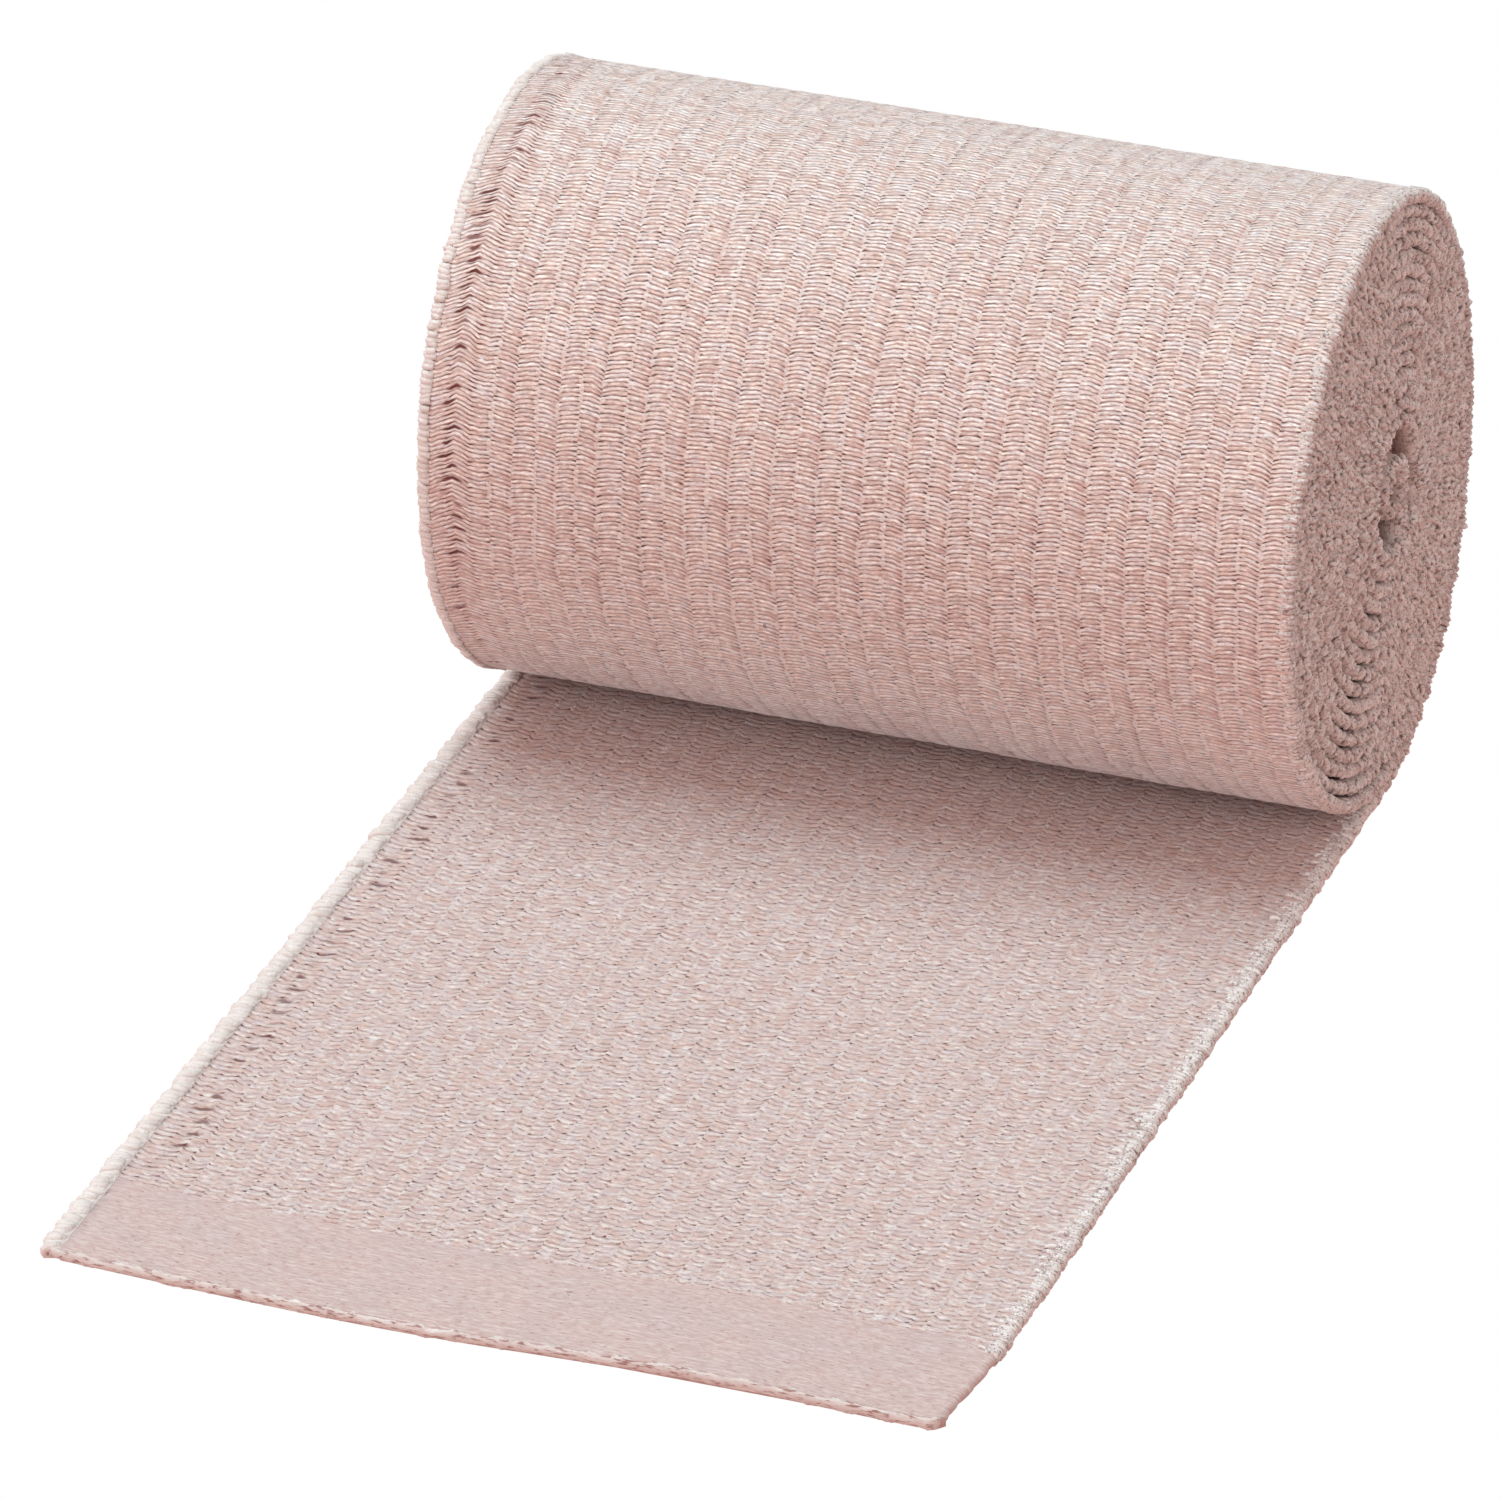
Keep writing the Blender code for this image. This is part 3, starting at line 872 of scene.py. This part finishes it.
def woven_material(name, weave, rib_width, look):
    """Woven cotton: yarn tones, pale slubs and nubs, fine fibre bump, and painted shade: dark colour in
    the gaps, dashes, voids and pinholes, on the yarns' flanks, and in the valleys between ribs and over
    the arches.
    """
    material, w, shader = new_material(name, 0.92, 0.2, look["sheen"])
    shader.inputs["Sheen Roughness"].default_value = 0.35
    shader.inputs["Sheen Tint"].default_value = (0.94, 0.97, 1.0, 1.0)
    across, yarn, along = stored(w, "across"), stored(w, "yarn"), stored(w, "along")
    yarn = w.times(yarn, look["yarn_share"])
    values = {"Across": across, "Yarn": yarn, "Rib Width": rib_width, "Seed": WEAVE_SEED}
    mask = w.node("ShaderNodeGroup", dict(values, Closing=look["closing"]), node_tree=weave).outputs
    cloud = w.noise(w.point(across, along), 0.6, 4.0, 0.65)
    streak = w.cloth_noise(across, yarn, (0.8, 1.3), 2.0, 0.6)
    fibre = w.cloth_noise(across, along, (1.7, 4.6), 3.0, 0.75)
    slub = w.cloth_noise(across, along, (0.75, 2.0), 2.0, 0.6)
    arches = w.minus(1.0, mask["Web"])
    pull = w.plus(mask["Pull"], w.times(arches, look["arch_pull"]))
    dash_shade = w.times(mask["Pair Gap"], w.ramp(pull, look["dash_from"], look["dash_full"]))
    pinhole_shade = w.chance(w.math("FLOOR", w.math("DIVIDE", across, 0.3)), w.math("FLOOR", yarn), 19.0)
    tones = (
        (w.ramp(cloud, 0.4, 0.6), look["cool"]),
        (w.ramp(mask["Tone"], 0.0, 1.0, 0.0, look["tone_share"]), look["deep"]),
        (w.ramp(streak, 0.45, 0.68, 0.0, look["pale_share"]), look["pale"]),
        # painted shade: the deep tone on each yarn's flanks, away from its crown
        (w.ramp(mask["Edge"], 0.15, 0.9, 0.0, look["flank_share"]), look["deep"]),
        (w.times(mask["Valley"], look["valley_share"]), look["shadow"]),
    )
    details = (
        # painted shade: the gaps between yarns are real, their dark gap colour is painted shade
        (w.times(mask["Gap"], look["gap_share"]), look["gap"]),
        (w.times(arches, look["arch_share"]), look["shadow"]),
        # painted shade: dark dashes between pairs of yarns, which take the void colour over the arches
        (w.times(dash_shade, look["dash_share"]), w.blend(arches, look["dash_shade"], look["shaded_void"])),
        (w.times(mask["Nub"], look["nub_share"]), look["nub"]),
        (w.ramp(slub, 0.63, 0.71, 0.0, look["slub_share"]), look["slub"]),
        # painted shade: the void colour in the lens-shaped voids; the relief also sinks there
        (w.times(mask["Void"], look["void_share"]), look["shaded_void"]),
        # painted shade: dark dots for pinholes
        (w.ramp(pinhole_shade, look["pin_from"], look["pin_from"] + 0.0004, 0.0, 0.6), look["pinhole_shade"]),
    )
    color = look["warm"]
    for share, tone in tones:
        color = w.blend(share, color, tone)
    grain = w.ramp(fibre, 0.25, 0.75, 1.0 - look["grain"], 1.0 + look["grain"], smooth=False)
    color = w.blend(1.0, color, w.point(grain, grain, grain), "MULTIPLY")
    for share, tone in details:
        color = w.blend(share, color, tone)
    height = w.plus(mask["Height"], w.times(fibre, look["fibre_height"]))
    finish(w, shader, color, height, look["bump"], look["bump_mm"])
    return material


def yarn_material(name, look):
    """Loose cotton yarn: a tone of its own for each loop, mottled, with white fluff and fibre bump."""
    material, w, shader = new_material(name, 0.95, 0.15, look["sheen"])
    place = w.node("ShaderNodeTexCoord").outputs["Object"]
    place = w.node("ShaderNodeVectorMath", {0: place, 1: look["stretch"]}, operation="MULTIPLY").outputs[0]
    shade = stored(w, "shade")
    mottle = w.noise(place, 900.0, 3.0, 0.6)
    fibre = w.noise(place, 4200.0, 2.0, 0.6)
    fluff = w.noise(place, 1700.0, 2.0, 0.55)
    color = w.blend(w.ramp(shade, 0.0, 1.0, smooth=False), look["dark"], look["light"])
    color = w.blend(w.ramp(mottle, 0.42, 0.7), color, look["light"])
    color = w.blend(w.ramp(fibre, 0.5, 0.68, 0.0, look["speck_share"]), color, look["speck"])
    color = w.blend(w.ramp(fluff, 0.6, 0.72, 0.0, look["fluff_share"]), color, look["fluff"])
    color = w.blend(w.ramp(shade, 1.1, 1.6, 0.0, 0.85), color, look["fluff"])
    finish(w, shader, color, w.plus(w.times(mottle, 0.6), fibre), 0.6, 0.12)
    return material


def rgb(red, green, blue):
    """A colour as the eye reads it, 0 to 255, made linear."""
    parts = []
    for value in (red, green, blue):
        part = value / 255.0
        parts.append(part / 12.92 if part <= 0.04045 else ((part + 0.055) / 1.055) ** 2.4)
    return (*parts, 1.0)


# Painted shade: the shadow, gap, dash, void and pin colours, and deep on each yarn's flanks.
ROLL_LOOK = {
    "warm": rgb(226, 198, 188),
    "cool": rgb(224, 211, 212),
    "deep": rgb(197, 159, 150),
    "pale": rgb(244, 231, 224),
    "shadow": rgb(196, 146, 137),
    "nub": rgb(231, 212, 206),
    "slub": rgb(234, 228, 228),
    "gap": rgb(120, 72, 62),
    "dash_shade": rgb(40, 25, 24),
    "shaded_void": rgb(112, 46, 41),
    "pinhole_shade": rgb(50, 30, 28),
    "tone_share": 0.6,
    "pale_share": 0.85,
    "flank_share": 0.65,
    "valley_share": 0.8,
    "nub_share": 0.55,
    "slub_share": 0.75,
    "gap_share": 0.95,
    "dash_from": -0.2,
    "dash_full": 0.7,
    "dash_share": 1.0,
    "arch_pull": 0.4,
    "arch_share": 0.1,
    "void_share": 0.95,
    "pin_from": 0.9996,
    "grain": 0.42,
    "sheen": 0.7,
    "fibre_height": 1.2,
    "bump": 0.8,
    "bump_mm": 0.1,
    "yarn_share": 1.0,
    "closing": 0.36,
}
# As on the roll, the shadow, gap, dash, void and pin colours are painted shade.
TAIL_LOOK = dict(
    ROLL_LOOK,
    warm=rgb(204, 174, 166),
    cool=rgb(200, 180, 180),
    deep=rgb(194, 157, 150),
    pale=rgb(222, 205, 201),
    shadow=rgb(186, 152, 145),
    nub=rgb(214, 202, 200),
    slub=rgb(222, 216, 217),
    gap=rgb(126, 82, 73),
    dash_shade=rgb(52, 26, 24),
    shaded_void=rgb(96, 38, 36),
    tone_share=0.4,
    flank_share=0.25,
    valley_share=0.3,
    nub_share=0.22,
    slub_share=0.7,
    gap_share=0.9,
    dash_from=-0.2,
    dash_full=0.8,
    arch_pull=0.5,
    arch_share=0.06,
    void_share=0.75,
    pin_from=0.9999,
    grain=0.3,
    sheen=0.12,
    bump=0.7,
    yarn_share=TAIL_YARN_SHARE,
    closing=0.42,
)
PINK_LOOK = {
    "light": rgb(227, 214, 211),
    "dark": rgb(195, 173, 168),
    "speck": rgb(108, 76, 71),
    "fluff": rgb(226, 217, 213),
    "speck_share": 0.75,
    "fluff_share": 0.7,
    "sheen": 0.3,
    "stretch": (1.0, 1.0, 1.0),
}
CREAM_LOOK = dict(
    PINK_LOOK,
    light=rgb(224, 209, 205),
    dark=rgb(212, 194, 188),
    speck=rgb(204, 182, 173),
    fluff=rgb(236, 225, 222),
    speck_share=0.2,
    sheen=0.4,
)
FRAY_LOOK = dict(
    PINK_LOOK,
    light=rgb(214, 200, 196),
    dark=rgb(200, 180, 175),
    speck=rgb(150, 102, 96),
    fluff=rgb(234, 228, 226),
    speck_share=0.9,
    fluff_share=0.6,
    stretch=(0.2, 1.0, 1.0),
)


def raised(name, mesh, depth, rib_width, look, material):
    """A woven sheet with its relief made real."""
    source = show(name + "_base", mesh, material)
    values = {
        "Depth": depth * MM,
        "Rib Width": rib_width,
        "Yarn Share": look["yarn_share"],
        "Closing": look["closing"],
        "Seed": WEAVE_SEED,
        "Material": material,
    }
    result = run_tree(source, bpy.data.node_groups.get("woven_relief") or relief_tree(), values)
    bpy.data.objects.remove(source)
    return result


def build_rolled_web(materials):
    """The ribbed web of the roll: its outermost turn in relief, and the plain turns inside."""
    left = -0.5 * BAND_WIDTH + CREAM_ON_ROLL
    right = 0.5 * BAND_WIDTH - PINK_ON_ROLL
    stations = rib_stations(left, right, (0.0, 0.5), RIB_WIDTH, RIM)
    arch_columns = left + np.array([0.6, 1.5, ARCH_PEAK, 3.3])
    stations = np.unique(np.concatenate([stations, arch_columns]).round(4))
    outer = woven_sheet("outer_turn", stations, LINE.roll_start, LINE.turn_end, rolled_slope, 1)
    outer = raised("outer_turn", outer, YARN_DEPTH, RIB_WIDTH, ROLL_LOOK, materials["roll"])
    inner_left = -0.5 * BAND_WIDTH + CREAM_SELVAGE_WIDTH
    inner_right = 0.5 * BAND_WIDTH - PINK_SELVAGE_WIDTH
    profile = (
        (inner_left, -HALF_LAYER),
        (inner_right, -HALF_LAYER),
        (inner_right, HALF_LAYER),
        (inner_left, HALF_LAYER),
    )
    inside = edge_strip("inner_turns", profile, LINE.turn_end, LINE.length, HIDDEN_STEP, 1)
    rings = len(inside.vertices) // len(profile)
    along = np.linspace(LINE.turn_end, LINE.length, rings)
    across = np.array([x for x, outward in profile]) - inner_left + ARCH_WIDTH
    float_attribute(inside, "across", np.tile(across, rings))
    float_attribute(inside, "yarn", np.repeat(along, len(profile)) / YARN_PITCH)
    return joined("rolled_web_cloth", [outer, inside], materials["roll"])


def build_laid_web(materials):
    """The laid end's web, its inner face up."""
    left = -0.5 * BAND_WIDTH + CREAM_ON_TAIL
    right = 0.5 * BAND_WIDTH - PINK_ON_TAIL
    stations = rib_stations(left, right, (0.0, 0.5), FINE_RIB, RIM)
    mesh = woven_sheet("laid", stations, HEM_DEPTH - 0.15, LINE.roll_start, laid_slope, -1)
    mesh = raised("laid", mesh, TAIL_YARN_DEPTH, FINE_RIB, TAIL_LOOK, materials["tail"])
    return joined("laid_web_cloth", [mesh], materials["tail"])


def rounded_profile(inner, outer, nose, thinner):
    """Cross-section of a selvage from its inner edge to its rounded outer edge."""
    half = HALF_LAYER - thinner
    sign = 1.0 if outer > inner else -1.0
    points = [(inner, -half)]
    for index in range(5):
        turn = math.pi * (-0.5 + index / 4.0)
        points.append((outer - sign * nose * (1.0 - math.cos(turn)), half * math.sin(turn)))
    points.append((inner, half))
    return tuple(points)


def loop_runs(name, side, runs, material):
    """Meshes of yarn loops set along an edge, one for each row of a table."""
    meshes = []
    tree = bpy.data.node_groups.get("edge_loops") or loops_tree()
    for index, run in enumerate(runs):
        edge = side * (0.5 * BAND_WIDTH - run["inset"])
        line = edge_line(name + "_line", edge, run["from"], run["to"], run["outward"])
        values = {
            "Loop": run["shape"],
            "Pitch": run["pitch"] * MM,
            "Outward": (float(side), 0.0, 0.0),
            "Size": run["size"],
            "Size Spread": run["spread"],
            "Scatter": run["scatter"] * MM,
            "Lean": run["lean"],
            "Shade From": run["shade"][0],
            "Shade To": run["shade"][1],
            "Seed": 11 + 3 * index,
            "Material": material,
        }
        meshes.append(run_tree(line, tree, values))
        bpy.data.objects.remove(line)
    return meshes


def selvage_bodies(start, turned, end):
    """Stretches of a selvage's body: its ends, how much thinner than the band, how far it stays back."""
    return {
        "roll": ((start, turned, 0.2, 0.35), (turned, end, -0.06, 0.3)),
        "laid": ((0.35, start, 0.02, 0.2),),
    }


def build_selvages(materials):
    """Both selvages, on the roll and on the laid end."""
    bend = HALF_LAYER - 0.1
    wrap = yarn_loop("pink_wrap", hook(0.8, bend, 5), 0.24, 5)
    knob = yarn_loop("pink_knob", hook(0.15, bend - 0.08, 3), 0.22, 5)
    thick_wrap = yarn_loop("cream_wrap", hook(0.6, bend, 5), 0.34, 6)
    thick_twist = yarn_loop("cream_twist", hook(1.1, bend, 5), 0.38, 6)
    thick_knob = yarn_loop("cream_knob", hook(0.3, bend - 0.1, 3), 0.3, 5)
    nub = yarn_loop("nub", [(-0.45, -0.06), (-0.15, 0.06), (0.15, 0.06), (0.45, -0.06)], 0.19, 6)
    start, turned, end = LINE.roll_start, LINE.turn_end, LINE.length
    places = ("shape", "from", "to", "pitch", "inset")
    columns = places + ("spread", "scatter", "lean", "size", "shade", "outward")
    over_nub = 0.06 - HALF_LAYER
    tables = {
        ("pink", "roll"): (
            (wrap, start, turned, 0.5, 0.5, 0.2, 0.08, 0.3, 1.0, (0.0, 0.6), 0.0),
            (knob, turned, end, 0.57, 0.5, 0.3, 0.16, 0.7, 1.08, (0.0, 1.0), 0.0),
        ),
        ("pink", "laid"): (
            (wrap, HEM_DEPTH - 1.5, start, 0.42, 0.42, 0.15, 0.06, 0.25, 1.0, (0.1, 1.25), 0.0),
            (nub, HEM_DEPTH - 1.0, start, 1.1, 1.35, 0.3, 0.2, 0.4, 1.0, (0.4, 1.3), over_nub),
        ),
        ("cream", "roll"): (
            (thick_wrap, start, turned, 0.5, 0.75, 0.15, 0.06, 0.4, 1.0, (0.0, 1.0), 0.0),
            (thick_knob, turned, end, 0.8, 0.55, 0.3, 0.18, 0.6, 1.0, (0.0, 1.0), 0.0),
        ),
        ("cream", "laid"): (
            (thick_twist, 0.3, start, 0.55, 0.5, 0.2, 0.12, 0.35, 1.0, (0.0, 1.0), 0.0),
        ),
    }
    widths = {"pink": (1, PINK_SELVAGE_WIDTH), "cream": (-1, CREAM_SELVAGE_WIDTH)}
    made = {}
    for (kind, zone), rows in tables.items():
        side, width = widths[kind]
        edge = side * 0.5 * BAND_WIDTH
        name = f"{kind}_selvage_{zone}"
        meshes = []
        for body_start, body_end, thinner, back in selvage_bodies(start, turned, end)[zone]:
            body = rounded_profile(edge - side * (width + 0.05), edge - side * back, 0.5, thinner)
            meshes.append(edge_strip(name, body, body_start, body_end, BODY_STEP, side))
        runs = [dict(zip(columns, row)) for row in rows]
        meshes += loop_runs(name, side, runs, materials[kind])
        made[kind, zone] = joined(name, meshes, materials[kind])
    for shape in (wrap, knob, thick_wrap, thick_twist, thick_knob, nub):
        bpy.data.objects.remove(shape)
    return made


def cut_edge(left, right, material):
    """The frayed end of the hem: a thin uneven roll of fibre across the band."""
    rings, sides = 420, 8
    x = np.linspace(left - 1.5, right - 0.4, rings)
    rng = np.random.default_rng(31)
    points = []
    for index in range(sides):
        turn = FULL_TURN * index / sides
        reach = 1.0 + 0.5 * np.convolve(rng.uniform(-1.0, 1.0, rings), np.full(5, 0.2), mode="same")
        along = 0.35 - 0.3 * math.cos(turn) * reach
        points.append(cloth_point(x, along, (HALF_LAYER - 0.02) * math.sin(turn) * reach))
    mesh = mesh_of("cut_edge", np.stack(points, 1).reshape(-1, 3), tube_faces(rings, sides))
    float_attribute(mesh, "shade", np.full(rings * sides, 0.6))
    return joined("hem_cut_edge", [mesh], material)


def build_hem(materials):
    """The smooth hem at the free end, and its frayed cut edge."""
    left = -0.5 * BAND_WIDTH + CREAM_ON_TAIL
    right = 0.5 * BAND_WIDTH - 0.05
    stations = rib_stations(left, right, (0.0,), FINE_RIB, RIM)
    sheet = woven_sheet("hem", stations, 0.3, HEM_DEPTH + 0.1, np.zeros_like, -1)
    return [joined("hem_woven", [sheet], materials["hem"]), cut_edge(left, right, materials["fray"])]


def hem_material():
    """Fine plain weave, smooth and matt."""
    material, w, shader = new_material("smooth_weave", 0.9, 0.2, 0.15)
    across, along = stored(w, "across"), stored(w, "along")
    threads = w.cloth_noise(across, along, (0.3, 3.4), 3.0, 0.65)
    warp = w.cloth_noise(across, along, (1.1, 5.0), 3.0, 0.6, layer=5.0)
    speck = w.cloth_noise(across, along, (1.2, 3.0), 3.0, 0.6)
    drift = w.noise(w.point(across, along), 0.2, 2.0, 0.5)
    color = w.blend(w.ramp(drift, 0.35, 0.65), rgb(199, 171, 166), rgb(193, 170, 168))
    color = w.blend(w.ramp(threads, 0.42, 0.66, 0.0, 0.65), color, rgb(214, 195, 192))
    color = w.blend(w.ramp(warp, 0.4, 0.62, 0.0, 0.6), color, rgb(177, 140, 133))
    color = w.blend(w.ramp(speck, 0.6, 0.7, 0.0, 0.75), color, rgb(148, 106, 100))
    finish(w, shader, color, w.plus(threads, w.times(warp, 0.6)), 0.5, 0.06)
    return material


def build_stage():
    """A white floor that takes no shadow, as in a cut-out picture, and soft studio light."""
    mesh = bpy.data.meshes.new("floor")
    reach = 3.0
    corners = [(-reach, -reach, 0.0), (reach, -reach, 0.0), (reach, reach, 0.0), (-reach, reach, 0.0)]
    mesh.from_pydata(corners, [], [(0, 1, 2, 3)])
    floor = placed("floor", mesh)
    material, w, shader = new_material("floor_white", 1.0, 0.0, 0.0)
    shader.inputs["Base Color"].default_value = (0.0, 0.0, 0.0, 1.0)
    seen = w.node("ShaderNodeLightPath").outputs["Is Camera Ray"]
    w.feed(shader.inputs["Emission Color"], w.blend(seen, FLOOR_GLOW, (1.0, 1.0, 1.0, 1.0)))
    shader.inputs["Emission Strength"].default_value = 1.0
    mesh.materials.append(material)

    world = bpy.data.worlds.new("studio")
    bpy.context.scene.world = world
    world.use_nodes = True
    sky = world.node_tree.nodes["Background"]
    sky.inputs["Color"].default_value = (1.0, 0.865, 0.825, 1.0)
    sky.inputs["Strength"].default_value = 0.62

    lamps = (
        ("overhead", (-0.25, 0.05, 1.1), (0.0, 0.02, 0.02), 0.8, 9.8, (0.64, 0.95, 1.0)),
        ("front_left", (-0.7, -1.1, 0.6), (0.0, 0.0, 0.02), 0.6, 7.5, (0.98, 0.99, 1.0)),
        ("right_fill", (1.1, -0.4, 0.5), (0.03, 0.03, 0.03), 0.7, 2.5, (0.9, 1.0, 1.0)),
    )
    for name, place, target, size, power, color in lamps:
        light = bpy.data.lights.new(name, "AREA")
        light.shape = "SQUARE"
        light.size = size
        light.energy = power
        light.color = color
        holder = placed(name, light)
        holder.location = place
        aim = Vector(target) - Vector(place)
        holder.rotation_euler = aim.to_track_quat("-Z", "Y").to_euler()


def build_camera():
    """A long lens at the photo's angle."""
    azimuth, elevation, roll = (math.radians(a) for a in (CAMERA_AZIMUTH, CAMERA_ELEVATION, CAMERA_ROLL))
    level_share = math.cos(elevation)
    back = Vector(
        (level_share * math.sin(azimuth), -level_share * math.cos(azimuth), math.sin(elevation))
    )
    level = Vector((math.cos(azimuth), math.sin(azimuth), 0.0))
    upright = back.cross(level)
    right = math.cos(roll) * level + math.sin(roll) * upright
    up = -math.sin(roll) * level + math.cos(roll) * upright
    target = Vector((BAND_MIDDLE_X, ROLL_AXIS_Y, 0.0))
    place = target + back * CAMERA_DISTANCE + right * CAMERA_ASIDE + up * CAMERA_UP
    lens = bpy.data.cameras.new("camera")
    lens.sensor_width = SENSOR_WIDTH
    lens.lens = FOCAL_PIXELS / PICTURE_WIDTH * SENSOR_WIDTH
    lens.clip_end = 20.0
    camera = placed("camera", lens)
    turn = Matrix((right, up, back)).transposed().to_4x4()
    camera.matrix_world = Matrix.Translation(place * MM) @ turn
    bpy.context.scene.camera = camera


def dress(pieces, slot, *nodes):
    """Pieces that ride on the one body and stand for the frame's nodes, which are hidden; slot is not
    used.
    """
    for piece in pieces:
        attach(piece, "root")
        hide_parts(*nodes)


build_camera()
build_stage()
bpy.context.scene.view_settings.view_transform = "Standard"

WEAVE = weave_group("ShaderNodeTree")
MATERIALS = {
    "roll": woven_material("flesh_weave", WEAVE, RIB_WIDTH, ROLL_LOOK),
    "tail": woven_material("pale_weave", WEAVE, FINE_RIB, TAIL_LOOK),
    "pink": yarn_material("pink_yarn", PINK_LOOK),
    "cream": yarn_material("cream_yarn", CREAM_LOOK),
    "fray": yarn_material("frayed_yarn", FRAY_LOOK),
    "hem": hem_material(),
}
rolled_web = build_rolled_web(MATERIALS)
laid_web = build_laid_web(MATERIALS)
selvages = build_selvages(MATERIALS)
hem = build_hem(MATERIALS)

dress([rolled_web], "flesh_weave", "rolled_web")
dress([laid_web], "flesh_weave", "laid_web")
dress([selvages["pink", "roll"]], "pink_yarn", "rolled_pink_selvage")
dress([selvages["pink", "laid"]], "pink_yarn", "laid_pink_selvage")
dress([selvages["cream", "roll"]], "cream_yarn", "rolled_cream_selvage")
dress([selvages["cream", "laid"]], "cream_yarn", "laid_cream_selvage")
dress(hem, "smooth_weave", "end_hem")
